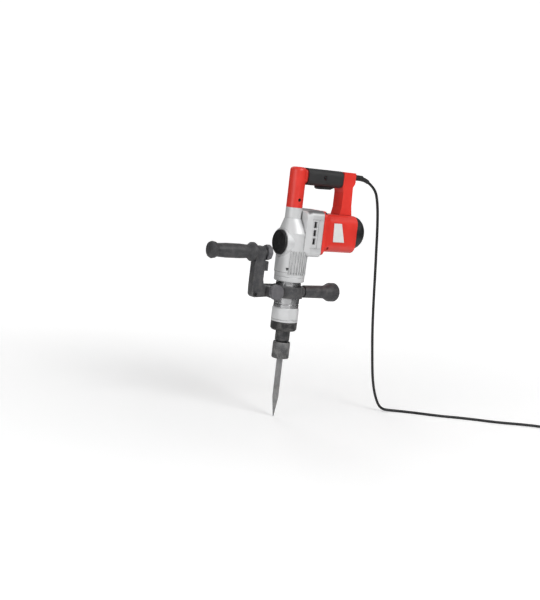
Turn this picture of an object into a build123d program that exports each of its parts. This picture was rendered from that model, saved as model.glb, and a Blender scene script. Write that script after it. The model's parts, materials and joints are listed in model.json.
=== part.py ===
"""Demolition hammer: barrel, gear case, motor, D-handle, cranked side handle and lead.

The origin is the point of the chisel. +Z runs up the barrel and +X out along the motor.
"""
from build123d import *
from math import cos, pi, radians, sin, tan
import os

os.makedirs("parts", exist_ok=True)

# Heights up the barrel, from the point of the chisel
point_length = 50
holder_foot = 150
holder_neck = 191
ring_foot = 221
collar_foot = 243
neck_foot = 278
barrel_foot = 343
case_foot = 355
case_shoulder = 462
tube_top = 523
handle_top = 621

# Radii about the barrel
shank_flats = 17
blade_flats = 14.5
sleeve_radius = 21.5
collar_radius = 33
neck_radius = 31
barrel_radius = 37.2
case_radius = 39
bore_radius = 16

# Crank drive
module_size = 1.25
pinion_teeth = 9
gear_teeth = 45
motor_height = 471
crank_height = motor_height - module_size * (pinion_teeth + gear_teeth) / 2
crank_throw = 12
rod_length = 50.25
pin_height = crank_height - crank_throw - rod_length
boss_radius = 34

# Gear case and motor
flange_start = 53
flange_end = 62
motor_end = 160
cap_end = 195
motor_width = 82
motor_depth = 86
belly = 7
belly_height = motor_height - belly / 2
flange_height = motor_height - 4
block_height = 464.5

# D-handle
tube_centre = -9
tube_radius = 20
column_start = 120
column_end = 147
column_half = 18.7
grip_height = 600
relief_start = (146, 0, 609)

# Side handle
handle_height = 317
clamp_height = 318
arm_outer = -109
arm_inner = -81
arm_half = 11.5
arm_top = 410

# Lead
cord_diameter = 7

# Travels and running clearances
fit = 0.05
piston_travel = 2 * crank_throw


def turn(points, mode=Mode.ADD):
    """Revolve an outline of (radius, height) points about the barrel."""
    with BuildSketch(Plane.XZ) as outline:
        with BuildLine():
            Polyline(*points, close=True)
        make_face()
    revolve(outline.sketch, axis=Axis.Z, mode=mode)


def turn_on_x(points, height, mode=Mode.ADD):
    """Revolve an outline of (x, radius) points about a line along X at that height."""
    with BuildSketch(Plane.XZ) as outline:
        with BuildLine():
            Polyline(*[(x, height + radius) for x, radius in points], close=True)
        make_face()
    revolve(outline.sketch, axis=Axis((0, 0, height), (1, 0, 0)), mode=mode)


def bar(radius, start, end, mode=Mode.ADD):
    """A round bar from one point to another."""
    line = Vector(*end) - Vector(*start)
    with BuildSketch(Plane(origin=start, z_dir=line)) as section:
        Circle(radius)
    extrude(section.sketch, amount=line.length, mode=mode)


def block(low, high, mode=Mode.ADD):
    """A box between two corners."""
    middle = [(a + b) / 2 for a, b in zip(low, high)]
    with Locations(tuple(middle)):
        Box(*[b - a for a, b in zip(low, high)], mode=mode)


def tube_on_x(width, depth, corner, start, end, height=motor_height, mode=Mode.ADD):
    """A rounded rectangular bar along X about a line at that height."""
    plane = Plane(origin=(start, 0, height), x_dir=(0, 1, 0), z_dir=(1, 0, 0))
    with BuildSketch(plane) as section:
        RectangleRounded(width, depth, corner)
    extrude(section.sketch, amount=end - start, mode=mode)


def hexagon(flats, start, end, mode=Mode.ADD):
    """A hexagonal bar up the barrel."""
    with BuildSketch(Plane.XY.offset(start)) as section:
        RegularPolygon(flats / 2, 6, major_radius=False)
    extrude(section.sketch, amount=end - start, mode=mode)


def save(builder, name):
    """Label a finished piece and write it under its own name."""
    builder.part.label = name
    export_step(builder.part, f"parts/{name}.step")


# ---- Tool and tool holder -------------------------------------------------------------

with BuildPart() as chisel:
    with BuildSketch(Plane.XY):
        RegularPolygon(1.0, 6, major_radius=False)
    with BuildSketch(Plane.XY.offset(point_length)):
        RegularPolygon(blade_flats / 2, 6, major_radius=False)
    loft()
    hexagon(blade_flats, point_length, holder_foot + 2)
    hexagon(shank_flats, holder_foot + 2, 223)
    for side in (-1, 1):
        block((-10, side * 9 - 2.2, 189), (10, side * 9 + 2.2, 216), Mode.SUBTRACT)
save(chisel, "chisel")

with BuildPart() as tool_holder:
    turn([(0, holder_foot + 3), (14.5, holder_foot + 3), (14.5, holder_neck + 2),
          (18, holder_neck + 4), (18, 223), (22, 223), (22, 262), (0, 262)])
    hexagon(shank_flats + 4 * fit, holder_foot + 3, 227, Mode.SUBTRACT)
    bar(11 + fit, (0, 0, 227), (0, 0, 243.7), Mode.SUBTRACT)
    bar(14, (0, 0, 243.7), (0, 0, 257), Mode.SUBTRACT)
    bar(11 + fit, (0, 0, 257), (0, 0, 262), Mode.SUBTRACT)
    for side in (-1, 1):
        bar(2.5, (-6, side * 10, 204.5), (6, side * 10, 204.5), Mode.SUBTRACT)
save(tool_holder, "tool_holder")

with BuildPart() as locking_rollers:
    for side in (-1, 1):
        bar(2.4, (-6, side * 10, 204.5), (6, side * 10, 204.5))
save(locking_rollers, "locking_rollers")

with BuildPart() as retaining_sleeve:
    turn([(14.5 + fit, holder_foot), (20, holder_foot), (sleeve_radius, holder_foot + 2),
          (sleeve_radius, holder_neck - 3), (20.3, holder_neck), (18.4, holder_neck),
          (18.4, 172), (14.5 + fit, 172)])
    with PolarLocations(sleeve_radius + 0.6, 24):
        with Locations((0, 0, 163)):
            Box(2.4, 2.4, 16, mode=Mode.SUBTRACT)
save(retaining_sleeve, "retaining_sleeve")

spring_pitch = 4.8
with BuildPart() as sleeve_spring:
    with BuildLine():
        Helix(pitch=spring_pitch, height=3.6 * spring_pitch, radius=16.4, center=(0, 0, 173.3))
    with BuildSketch(Plane(origin=(16.4, 0, 173.3), z_dir=(0, 1, 0))):
        Circle(0.9)
    sweep(is_frenet=True)
save(sleeve_spring, "sleeve_spring")

with BuildPart() as rubber_ring:
    turn([(18.3, ring_foot), (29.5, ring_foot), (32.6, ring_foot + 4), (32.6, collar_foot - 2),
          (31.5, collar_foot), (22, collar_foot), (22, 223), (18.3, 223)])
save(rubber_ring, "rubber_ring")

with BuildPart() as front_collar:
    turn([(22, collar_foot), (collar_radius, collar_foot), (collar_radius, neck_foot - 3),
          (collar_radius - 2, neck_foot), (20, neck_foot), (20, 262), (22, 262)])
    turn([(collar_radius - 0.8, 247.6), (collar_radius + 1, 247.6), (collar_radius + 1, 249),
          (collar_radius - 0.8, 249)], Mode.SUBTRACT)
    for side in (-1, 1):
        block((-12, side * collar_radius - 2.3, 249),
              (12, side * collar_radius + 2.3, neck_foot + 1), Mode.SUBTRACT)
save(front_collar, "front_collar")

# ---- Barrel and hammer mechanism ------------------------------------------------------

with BuildPart() as neck_tube:
    turn([(25, neck_foot), (neck_radius, neck_foot), (neck_radius, 396), (25, 396)])
    for level in (286, 338):
        turn([(neck_radius - 0.8, level), (neck_radius + 1, level - 1), (neck_radius + 1, level + 3),
              (neck_radius - 0.8, level + 2)], Mode.SUBTRACT)
save(neck_tube, "neck_tube")

with BuildPart() as cylinder_sleeve:
    turn([(bore_radius, 262), (20, 262), (20, neck_foot), (25, neck_foot), (25, 286),
          (20, 286), (20, 360), (25, 360), (25, 368), (20, 368), (20, 377), (bore_radius, 377)])
    with PolarLocations(18, 6):
        with Locations((0, 0, 310)):
            Cylinder(2, 12, rotation=(0, 90, 0), mode=Mode.SUBTRACT)
save(cylinder_sleeve, "cylinder_sleeve")

with BuildPart() as impact_bolt:
    turn([(0, 236), (10, 236), (11, 237), (11, 244), (13.6, 244), (13.6, 250), (11, 250),
          (11, 261), (10, 262), (0, 262)])
save(impact_bolt, "impact_bolt")

striker_top = 304
with BuildPart() as striker:
    turn([(0, 269), (8.5, 269), (9.5, 270), (9.5, 282), (bore_radius - fit, 282),
          (bore_radius - fit, 290), (14.2, 290), (14.2, 293.4), (bore_radius - fit, 293.4),
          (bore_radius - fit, striker_top), (0, striker_top)])
save(striker, "striker")

piston_foot = striker_top + piston_travel + 0.5
crown_top = pin_height - 6 - piston_travel - 0.5
with BuildPart() as piston:
    turn([(0, piston_foot), (bore_radius - fit, piston_foot), (bore_radius - fit, 333),
          (14.2, 333), (14.2, 336.4), (bore_radius - fit, 336.4), (bore_radius - fit, 381),
          (0, 381)])
    block((-7.3, -20, crown_top), (7.3, 20, 390), Mode.SUBTRACT)
    bar(3.8, (-20, 0, pin_height), (20, 0, pin_height), Mode.SUBTRACT)
save(piston, "piston")

for name, level in (("striker_seal", 291.7), ("piston_seal", 334.7)):
    with BuildPart() as seal:
        with Locations((0, 0, level)):
            Torus(14.2 + 0.84, 0.84)
    save(seal, name)

with BuildPart() as connecting_rod:
    pin_top = crank_height - crank_throw
    bar(11, (-5, 0, pin_top), (5, 0, pin_top))
    bar(6, (-5, 0, pin_height), (5, 0, pin_height))
    block((-4, -4, pin_height), (4, 4, pin_top))
    bar(6 + fit, (-5, 0, pin_top), (5, 0, pin_top), Mode.SUBTRACT)
    bar(3.5, (-5, 0, pin_height), (5, 0, pin_height), Mode.SUBTRACT)
save(connecting_rod, "connecting_rod")

with BuildPart() as piston_pin:
    bar(3.5, (-7, 0, pin_height), (7, 0, pin_height))
save(piston_pin, "piston_pin")

with BuildPart() as crankshaft:
    bar(20, (8, 0, crank_height), (15, 0, crank_height))
    bar(6, (-6, 0, crank_height - crank_throw), (8, 0, crank_height - crank_throw))
    bar(9, (15, 0, crank_height), (24, 0, crank_height))
    bar(7.5, (24, 0, crank_height), (48, 0, crank_height))
save(crankshaft, "crankshaft")


def gear(teeth, phase, tooth_share, height, start, end):
    """A spur wheel along X with straight-sided teeth, one of them at the phase angle."""
    pitch_radius = module_size * teeth / 2
    root_radius = pitch_radius - 1.3 * module_size
    tip_radius = pitch_radius + 0.95 * module_size
    root_half = 180 / teeth * tooth_share * 1.35
    tip_half = 180 / teeth * tooth_share * 0.5
    corners = [(root_radius, -root_half), (tip_radius, -tip_half),
               (tip_radius, tip_half), (root_radius, root_half)]
    outline = []
    for tooth in range(teeth):
        for radius, angle in corners:
            turned = radians(phase + tooth * 360 / teeth + angle)
            outline.append((radius * cos(turned), radius * sin(turned)))
    plane = Plane(origin=(start, 0, height), x_dir=(0, 1, 0), z_dir=(1, 0, 0))
    with BuildSketch(plane) as face:
        with BuildLine():
            Polyline(*outline, close=True)
        make_face()
    extrude(face.sketch, amount=end - start)


with BuildPart() as crank_gear:
    gear(gear_teeth, 90, 0.40, crank_height, 24, 34)
    bar(7.5, (24, 0, crank_height), (34, 0, crank_height), Mode.SUBTRACT)
    with BuildSketch(Plane(origin=(24, 0, crank_height), x_dir=(0, 1, 0), z_dir=(1, 0, 0))):
        with PolarLocations(17, 6):
            Circle(4)
    extrude(amount=10, mode=Mode.SUBTRACT)
save(crank_gear, "crank_gear")

with BuildPart() as crank_bearing:
    turn_on_x([(38, 7.5), (47, 7.5), (47, 15), (38, 15)], crank_height)
save(crank_bearing, "crank_bearing")

# ---- Housings -------------------------------------------------------------------------

with BuildPart() as front_flange:
    turn([(neck_radius, barrel_foot), (barrel_radius - 1.5, barrel_foot),
          (barrel_radius, barrel_foot + 1.5), (barrel_radius + 0.2, case_foot - 0.6),
          (barrel_radius - 0.6, case_foot), (neck_radius, case_foot)])
save(front_flange, "front_flange")

with BuildPart() as gear_housing:
    turn([(0, case_foot), (barrel_radius - 0.4, case_foot), (barrel_radius + 0.2, case_foot + 0.6),
          (case_radius, 398), (case_radius, case_shoulder), (0, case_shoulder)])
    with BuildSketch(Plane.XY.offset(case_shoulder)):
        Circle(case_radius)
    with BuildSketch(Plane.XY.offset(497)):
        with Locations((tube_centre, 0)):
            Circle(tube_radius + 0.6)
    loft()
    bar(tube_radius, (tube_centre, 0, 490), (tube_centre, 0, tube_top))
    bar(boss_radius, (-38, 0, crank_height), (38, 0, crank_height))
    with BuildSketch(Plane(origin=(6, 0, block_height), x_dir=(0, 1, 0), z_dir=(1, 0, 0))):
        RectangleRounded(80, 103, 15)
    with BuildSketch(Plane(origin=(20, 0, block_height), x_dir=(0, 1, 0), z_dir=(1, 0, 0))):
        RectangleRounded(90, 113, 13)
    loft()
    with BuildSketch(Plane(origin=(20, 0, block_height), x_dir=(0, 1, 0), z_dir=(1, 0, 0))):
        RectangleRounded(90, 113, 13)
    extrude(amount=flange_start - 20)
    bar(neck_radius, (0, 0, case_foot), (0, 0, 396), Mode.SUBTRACT)
    bar(35, (0, 0, 396), (0, 0, 458), Mode.SUBTRACT)
    bar(boss_radius + 2, (-50, 0, crank_height), (-38, 0, crank_height), Mode.SUBTRACT)
    bar(31, (-33, 0, crank_height), (35.5, 0, crank_height), Mode.SUBTRACT)
    bar(26, (-38, 0, crank_height), (-33, 0, crank_height), Mode.SUBTRACT)
    with BuildSketch(Plane(origin=(14, 0, 468), x_dir=(0, 1, 0), z_dir=(1, 0, 0))):
        RectangleRounded(80, 96, 10)
    extrude(amount=flange_start - 18, mode=Mode.SUBTRACT)
    bar(15.5, (tube_centre, 0, 450), (tube_centre, 0, tube_top), Mode.SUBTRACT)
    bar(19, (37.5, 0, crank_height), (flange_start, 0, crank_height))
    bar(20, (44, 0, motor_height), (flange_start, 0, motor_height))
    for y in (-38, 38):
        for z in (motor_height - 42, motor_height + 42):
            bar(5, (40, y, z), (flange_start, y, z))
            bar(2.5, (44, y, z), (flange_start, y, z), Mode.SUBTRACT)
    bar(15, (38, 0, crank_height), (49, 0, crank_height), Mode.SUBTRACT)
    bar(7.5 + 1, (37.5, 0, crank_height), (38, 0, crank_height), Mode.SUBTRACT)
    bar(16, (44, 0, motor_height), (flange_start, 0, motor_height), Mode.SUBTRACT)
    for level in (447, 467, 487):
        for side in (-1, 1):
            block((25, side * 43 - 4, level - 7.5), (33, side * 43 + 4, level + 7.5),
                  Mode.SUBTRACT)
save(gear_housing, "gear_housing")

with BuildPart() as oil_cap:
    bar(30, (-43, 0, crank_height), (-38, 0, crank_height))
    chamfer(oil_cap.edges().group_by(Axis.X)[0], 1.2)
    bar(26 - 2 * fit, (-38, 0, crank_height), (-33.5, 0, crank_height))
    for turned in range(4):
        plane = Plane(origin=(-43, 0, crank_height), z_dir=(-1, 0, 0))
        with BuildSketch(plane) as groove:
            Circle(6 + 5.4 * turned)
            Circle(4 + 5.4 * turned, mode=Mode.SUBTRACT)
        extrude(groove.sketch, amount=-1.2, mode=Mode.SUBTRACT)
    with BuildSketch(Plane(origin=(-43, 0, crank_height), z_dir=(-1, 0, 0))) as notches:
        with PolarLocations(30.4, 36):
            Rectangle(2.4, 2)
    extrude(notches.sketch, amount=-3.6, mode=Mode.SUBTRACT)
save(oil_cap, "oil_cap")

with BuildPart() as motor_housing:
    tube_on_x(92, 108, 16, flange_start, flange_end, flange_height)
    tube_on_x(motor_width, motor_depth + belly, 22, flange_end, motor_end, belly_height)
    with BuildSketch(Plane(origin=(flange_end, 0, flange_height), x_dir=(0, 1, 0),
                           z_dir=(1, 0, 0))):
        RectangleRounded(88, 104, 18)
    with BuildSketch(Plane(origin=(76, 0, belly_height), x_dir=(0, 1, 0), z_dir=(1, 0, 0))):
        RectangleRounded(motor_width, motor_depth + belly, 22)
    loft()
    tube_on_x(motor_width - 8, motor_depth - 8, 18, 58, motor_end, mode=Mode.SUBTRACT)
    bar(22, (flange_start, 0, motor_height), (58, 0, motor_height), Mode.SUBTRACT)
    for y in (-38, 38):
        for z in (motor_height - 42, motor_height + 42):
            bar(5.2, (57, y, z), (80, y, z), Mode.SUBTRACT)
            bar(2.6, (flange_start, y, z), (57, y, z), Mode.SUBTRACT)
    block((149, -8, 500), (152, 8, 520), Mode.SUBTRACT)
    bar(7, (134, 0, 505), (134, 0, 520), Mode.SUBTRACT)
save(motor_housing, "motor_housing")

with BuildPart() as end_cap:
    turn_on_x([(motor_end, 0), (motor_end, 42), (173, 41.7), (182, 39.5), (188, 35),
               (192.5, 27.5), (194.5, 18), (cap_end, 0)], motor_height)
    turn_on_x([(motor_end, 0), (motor_end, 38), (170, 38), (177, 35.5), (182, 31.5),
               (186, 25), (188, 17), (188.5, 0)], motor_height, Mode.SUBTRACT)
    with BuildSketch(Plane(origin=(motor_end, 0, motor_height), x_dir=(0, 1, 0),
                           z_dir=(1, 0, 0))) as vents:
        with PolarLocations(25, 16):
            SlotOverall(15, 3)
    extrude(vents.sketch, amount=40, mode=Mode.SUBTRACT)
    bar(15, (motor_end + 1, 0, motor_height), (189, 0, motor_height))
    bar(11, (motor_end + 1, 0, motor_height), (168, 0, motor_height), Mode.SUBTRACT)
    bar(6, (168, 0, motor_height), (172, 0, motor_height), Mode.SUBTRACT)
save(end_cap, "end_cap")

with BuildPart() as label_plate:
    face_y = -motor_width / 2
    with BuildSketch(Plane.XZ.offset(-face_y)):
        with BuildLine():
            Polyline((87, motor_height + 23), (110, motor_height + 23),
                     (123, motor_height - 23), (89, motor_height - 23), close=True)
        make_face()
    extrude(amount=0.8)
save(label_plate, "label_plate")

# ---- Motor ----------------------------------------------------------------------------

with BuildPart() as armature_shaft:
    gear(pinion_teeth, 270 + 180 / pinion_teeth, 0.40, motor_height, 22, 37)
    bar(5, (37, 0, motor_height), (80, 0, motor_height))
    bar(6, (56, 0, motor_height), (150, 0, motor_height))
    bar(4.5, (150, 0, motor_height), (168, 0, motor_height))
save(armature_shaft, "armature_shaft")

with BuildPart() as armature_core:
    turn_on_x([(86, 6), (86, 22), (126, 22), (126, 6)], motor_height)
    with BuildSketch(Plane(origin=(86, 0, motor_height), z_dir=(1, 0, 0))) as slots:
        with PolarLocations(20, 12):
            Rectangle(8, 2.4)
    extrude(slots.sketch, amount=40, mode=Mode.SUBTRACT)
save(armature_core, "armature_core")

with BuildPart() as armature_windings:
    for start, end in ((80, 86), (126, 131)):
        turn_on_x([(start, 6), (start, 17), (end, 17), (end, 6)], motor_height)
    with BuildSketch(Plane(origin=(86, 0, motor_height), z_dir=(1, 0, 0))) as wires:
        with PolarLocations(18, 12):
            Rectangle(4, 2)
    extrude(wires.sketch, amount=40)
save(armature_windings, "armature_windings")

with BuildPart() as commutator:
    turn_on_x([(133, 6), (133, 12.5), (147, 12.5), (147, 6)], motor_height)
    with BuildSketch(Plane(origin=(133, 0, motor_height), z_dir=(1, 0, 0))) as gaps:
        with PolarLocations(12.4, 24):
            Rectangle(1.6, 0.4)
    extrude(gaps.sketch, amount=14, mode=Mode.SUBTRACT)
save(commutator, "commutator")

with BuildPart() as cooling_fan:
    turn_on_x([(66, 6), (66, 10), (75, 10), (75, 31), (76.5, 31), (76.5, 6)], motor_height)
    with BuildSketch(Plane(origin=(67, 0, motor_height), z_dir=(1, 0, 0))) as blades:
        with PolarLocations(19.5, 14):
            Rectangle(21, 1.4)
    extrude(blades.sketch, amount=8.5)
save(cooling_fan, "cooling_fan")

with BuildPart() as stator:
    turn_on_x([(84, 23), (84, 35), (128, 35), (128, 23)], motor_height)
    for side in (-1, 1):
        block((83, -9, motor_height + side * 26 - 5), (129, 9, motor_height + side * 26 + 5),
              Mode.SUBTRACT)
save(stator, "stator")

with BuildPart() as field_windings:
    for side in (-1, 1):
        block((80, -8.5, motor_height + side * 27 - 3.5), (132, 8.5, motor_height + side * 27 + 3.5))
save(field_windings, "field_windings")

with BuildPart() as front_motor_bearing:
    turn_on_x([(44, 5), (52, 5), (52, 16), (44, 16)], motor_height)
save(front_motor_bearing, "front_motor_bearing")

with BuildPart() as rear_motor_bearing:
    turn_on_x([(161, 4.5), (168, 4.5), (168, 11), (161, 11)], motor_height)
save(rear_motor_bearing, "rear_motor_bearing")

with BuildPart() as brush_holders:
    for side in (-1, 1):
        block((134, min(side * 16, side * 36), motor_height - 6),
              (146, max(side * 16, side * 36), motor_height + 6))
        block((136, min(side * 15, side * 34), motor_height - 4),
              (144, max(side * 15, side * 34), motor_height + 4), Mode.SUBTRACT)
save(brush_holders, "brush_holders")

with BuildPart() as carbon_brushes:
    for side in (-1, 1):
        block((136, min(side * 12.8, side * 28), motor_height - 4),
              (144, max(side * 12.8, side * 28), motor_height + 4))
save(carbon_brushes, "carbon_brushes")

# ---- D-handle -------------------------------------------------------------------------

# Screw bosses, each with the side its screw head is on
boss_places = [(tube_centre, 542, -1), (tube_centre, 597, 1), (134, 540, 1), (134, 604, 1)]


column_outline = [(column_start - 4, 514), (column_end + 7, 514), (column_end + 3, 538),
                  (column_end + 1, 584), (column_end + 9, 597), (column_end + 9, 616),
                  (column_end + 4, handle_top - 1), (column_start - 3, handle_top - 1),
                  (column_start - 3, 582), (column_start, 570), (column_start, 532)]

for name, side in (("left_handle_shell", -1), ("right_handle_shell", 1)):
    with BuildPart() as shell:
        bar(tube_radius, (tube_centre, 0, tube_top), (tube_centre, 0, handle_top))
        fillet(shell.faces().sort_by(Axis.Z)[-1].edges(), 9)
        with BuildSketch(Plane.XZ.offset(-column_half)) as column:
            with BuildLine():
                Polyline(*column_outline, close=True)
            make_face()
        extrude(column.sketch, amount=2 * column_half)
        fillet(shell.edges().filter_by(Axis.Z).group_by(Axis.X)[-1], 4)
        tube_on_x(28, 34, 9, 0, column_start, grip_height)
        bar(16.5, (tube_centre, 0, tube_top), (tube_centre, 0, 608), Mode.SUBTRACT)
        block((0, -11, 587), (column_start + 6, 11, 613), Mode.SUBTRACT)
        block((column_start + 3.5, -15, 513), (column_end - 2.5, 15, 613), Mode.SUBTRACT)
        for x, z, head in boss_places:
            bar(5, (x, -17, z), (x, 17, z))
            bar(2.1, (x, head * 18, z), (x, head * -12, z), Mode.SUBTRACT)
            bar(4.2, (x, head * 30, z), (x, head * 14.5, z), Mode.SUBTRACT)
        bar(7, (column_end - 6, 0, 609), (column_end + 12, 0, 609), Mode.SUBTRACT)
        block((44, -6.2, 580), (104, 6.2, 588), Mode.SUBTRACT)
        bar(1.6, (99, -8.2, 585), (99, 8.2, 585), Mode.SUBTRACT)
        bar(3.6, (62, -20, grip_height), (62, -10, grip_height), Mode.SUBTRACT)
        block((-60, min(0, -60 * side), 480), (200, max(0, -60 * side), 680), Mode.SUBTRACT)
    save(shell, name)

with BuildPart() as grip_sleeve:
    with BuildSketch(Plane(origin=(12, 0, grip_height), x_dir=(0, 1, 0), z_dir=(1, 0, 0))):
        RectangleRounded(37, 41, 14)
    extrude(amount=104)
    tube_on_x(28, 34, 9, 0, column_start, grip_height, Mode.SUBTRACT)
    block((44, -6.4, 570), (104, 6.4, 590), Mode.SUBTRACT)
    bar(5, (62, -20, grip_height), (62, -10, grip_height), Mode.SUBTRACT)
save(grip_sleeve, "grip_sleeve")

with BuildPart() as trigger:
    with BuildSketch(Plane.XZ.offset(-5.5)) as paddle:
        with BuildLine():
            Polyline((47, 575), (52, 572), (88, 573), (102, 579), (102, 586.5), (47, 586.5),
                     close=True)
        make_face()
    extrude(paddle.sketch, amount=11)
    bar(1.55, (99, -8, 585), (99, 8, 585))
save(trigger, "trigger")

with BuildPart() as lock_button:
    bar(3.4, (62, -20.5, grip_height), (62, -10, grip_height))
save(lock_button, "lock_button")

with BuildPart() as switch_body:
    block((50, -9, 593.5), (96, 9, 610))
    bar(3.6, (62, -10, grip_height), (62, -6, grip_height), Mode.SUBTRACT)
save(switch_body, "switch_body")

with BuildPart() as handle_screws:
    for x, z, head in boss_places:
        bar(1.9, (x, head * 14.5, z), (x, head * -11, z))
        bar(3.9, (x, head * 17, z), (x, head * 14.5, z))
        for half_width, half_height in ((2.6, 0.5), (0.5, 2.6)):
            block((x - half_width, head * 16.5 - 0.5, z - half_height),
                  (x + half_width, head * 16.5 + 0.5, z + half_height), Mode.SUBTRACT)
save(handle_screws, "handle_screws")

with BuildPart() as flange_screws:
    for y in (-38, 38):
        for z in (motor_height - 42, motor_height + 42):
            bar(2.5, (44, y, z), (57, y, z))
            bar(4.8, (57, y, z), (62, y, z))
            hexagon_face = Plane(origin=(62, y, z), x_dir=(0, 1, 0), z_dir=(1, 0, 0))
            with BuildSketch(hexagon_face) as socket:
                RegularPolygon(2, 6, major_radius=False)
            extrude(socket.sketch, amount=-2.5, mode=Mode.SUBTRACT)
save(flange_screws, "flange_screws")

# ---- Side handle ----------------------------------------------------------------------

with BuildPart() as clamp_band:
    bar(37.5, (0, 0, 303), (0, 0, 331))
    for side in (-1, 1):
        block((-71, min(side * 11.7, side * 24), 303), (-24, max(side * 11.7, side * 24), 331))
    bar(12, (30, 0, handle_height), (46, 0, handle_height))
    bar(neck_radius + fit, (0, 0, 300), (0, 0, 335), Mode.SUBTRACT)
    block((-75, -11.7, 300), (-20, 11.7, 340), Mode.SUBTRACT)
    bar(5.2, (-55, -30, clamp_height), (-55, 30, clamp_height), Mode.SUBTRACT)
    bar(6, (36, 0, handle_height), (60, 0, handle_height), Mode.SUBTRACT)
    fillet(clamp_band.edges().filter_by(Axis.Y).group_by(Axis.X)[0], 6)
save(clamp_band, "clamp_band")

with BuildPart() as crank_arm:
    with BuildSketch(Plane.XZ.offset(-arm_half)) as outline:
        with BuildLine():
            Polyline((-44, 305), (-103, 301), (-109, 307), (-110, 330), (arm_outer, arm_top),
                     (-105, arm_top + 15), (-85, arm_top + 15), (arm_inner, arm_top),
                     (arm_inner, 345), (-78, 332), (-66, 329), (-44, 329), close=True)
        make_face()
    extrude(outline.sketch, amount=2 * arm_half)
    fillet(crank_arm.edges().filter_by(Axis.Y), 4)
    chamfer(crank_arm.edges().group_by(Axis.Y)[0], 1.5)
    chamfer(crank_arm.edges().group_by(Axis.Y)[-1], 1.5)
    block((arm_inner - 2, -8, 366), (-70, 8, 389))
    bar(12, (arm_inner - 2, 0, arm_top), (-78.3, 0, arm_top))
    bar(5.2, (-55, -20, clamp_height), (-55, 20, clamp_height), Mode.SUBTRACT)
    bar(5, (-115, 0, arm_top), (-70, 0, arm_top), Mode.SUBTRACT)
    bar(3, (-101, -20, 309), (-101, 20, 309), Mode.SUBTRACT)
save(crank_arm, "crank_arm")

with BuildPart() as elbow_bolt:
    bar(3, (-101, -arm_half, 309), (-101, arm_half, 309))
    bar(4.6, (-101, -arm_half - 2.5, 309), (-101, -arm_half, 309))
    bar(4.6, (-101, arm_half, 309), (-101, arm_half + 2.5, 309))
save(elbow_bolt, "elbow_bolt")

with BuildPart() as clamp_bolt:
    bar(5, (-55, -36, clamp_height), (-55, 24, clamp_height))
    with BuildSketch(Plane(origin=(-55, 24, clamp_height), z_dir=(0, 1, 0))):
        RegularPolygon(8, 6, major_radius=False)
    extrude(amount=6)
save(clamp_bolt, "clamp_bolt")

with BuildPart() as clamp_knob:
    bar(18.3, (-55, -40, clamp_height), (-55, -28, clamp_height))
    fillet(clamp_knob.edges().group_by(Axis.Y)[0], 2.5)
    bar(10, (-55, -28, clamp_height), (-55, -24.3, clamp_height))
    bar(5 + fit, (-55, -37, clamp_height), (-55, -24, clamp_height), Mode.SUBTRACT)
save(clamp_knob, "clamp_knob")

with BuildPart() as right_grip_core:
    bar(6, (36, 0, handle_height), (140, 0, handle_height))
save(right_grip_core, "right_grip_core")

with BuildPart() as right_grip:
    turn_on_x([(46, 6), (46, 15), (48, 15.5), (108, 16.3), (112, 17.5), (121, 22), (125, 23),
               (139, 23), (144, 21.5), (147, 18.5), (148.5, 14), (149, 0), (140, 0), (140, 6)],
              handle_height)
save(right_grip, "right_grip")

with BuildPart() as left_grip_core:
    bar(5, (-225, 0, arm_top), (-66, 0, arm_top))
save(left_grip_core, "left_grip_core")

with BuildPart() as left_grip:
    turn_on_x([(-109.3, 5), (-109.3, 21), (-112, 23), (-119, 23), (-123, 20), (-128, 16),
               (-150, 17.5), (-190, 17.5), (-214, 16), (-219, 19), (-227, 20.5), (-232, 18),
               (-235, 12), (-235, 0), (-225, 0), (-225, 5)], arm_top)
save(left_grip, "left_grip")

with BuildPart() as lock_knob:
    with BuildSketch(Plane(origin=(-78, 0, arm_top), x_dir=(0, 1, 0), z_dir=(1, 0, 0))):
        RegularPolygon(17.5, 8, major_radius=False)
    extrude(amount=12.5)
    fillet(lock_knob.edges().group_by(Axis.X)[-1], 2)
    bar(5 + fit, (-80, 0, arm_top), (-66, 0, arm_top), Mode.SUBTRACT)
save(lock_knob, "lock_knob")

# ---- Lead -----------------------------------------------------------------------------

floor = cord_diameter / 2
coil_base = 1
relief_end = (208, 0, 600.5)

with BuildPart() as strain_relief:
    with BuildLine():
        relief_path = Bezier(relief_start, (180, 0, 609), (196, 0, 607.65), relief_end)
    with BuildSketch(Plane(origin=relief_start, z_dir=relief_path % 0)):
        Circle(7)
    with BuildSketch(Plane(origin=relief_end, z_dir=relief_path % 1)):
        Circle(5)
    sweep(multisection=True)
save(strain_relief, "strain_relief")

cord_route = [relief_end, (233, 0, 585.6), (244, 0, 552), (251, 0, 497), (254.5, 0, 437),
              (259, 0, 372), (265, 0, 300), (274, 0, 222), (287, 0, 148), (302, 0, 84),
              (316, -1, 44), (336, -6, 14), (368, -18, floor), (412, -44, floor),
              (470, -92, floor), (541, -131, floor), (606, -182, floor), (680, -222, floor + coil_base),
              (735, -268, floor + coil_base)]


def corner_radii(points):
    """As large an arc at each corner as its two runs allow."""
    radii = []
    for before, here, after in zip(points, points[1:], points[2:]):
        first = Vector(*here) - Vector(*before)
        second = Vector(*after) - Vector(*here)
        half_turn = radians(first.get_angle(second) / 2)
        radii.append(0.45 * min(first.length, second.length) / tan(half_turn))
    return radii


radii = corner_radii(cord_route)
print("cord radii", [round(radius) for radius in radii])
with BuildPart() as cord:
    with BuildLine():
        cord_path = FilletPolyline(*cord_route, radius=radii)
    with BuildSketch(Plane(origin=cord_path @ 0, z_dir=cord_path % 0)):
        Circle(cord_diameter / 2)
    sweep()
section = pi * cord_diameter ** 2 / 4
print("cord", round(cord_path.length), "mm, volume ratio",
      round(cord.part.volume / (section * cord_path.length), 4))
save(cord, "cord")

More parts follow.
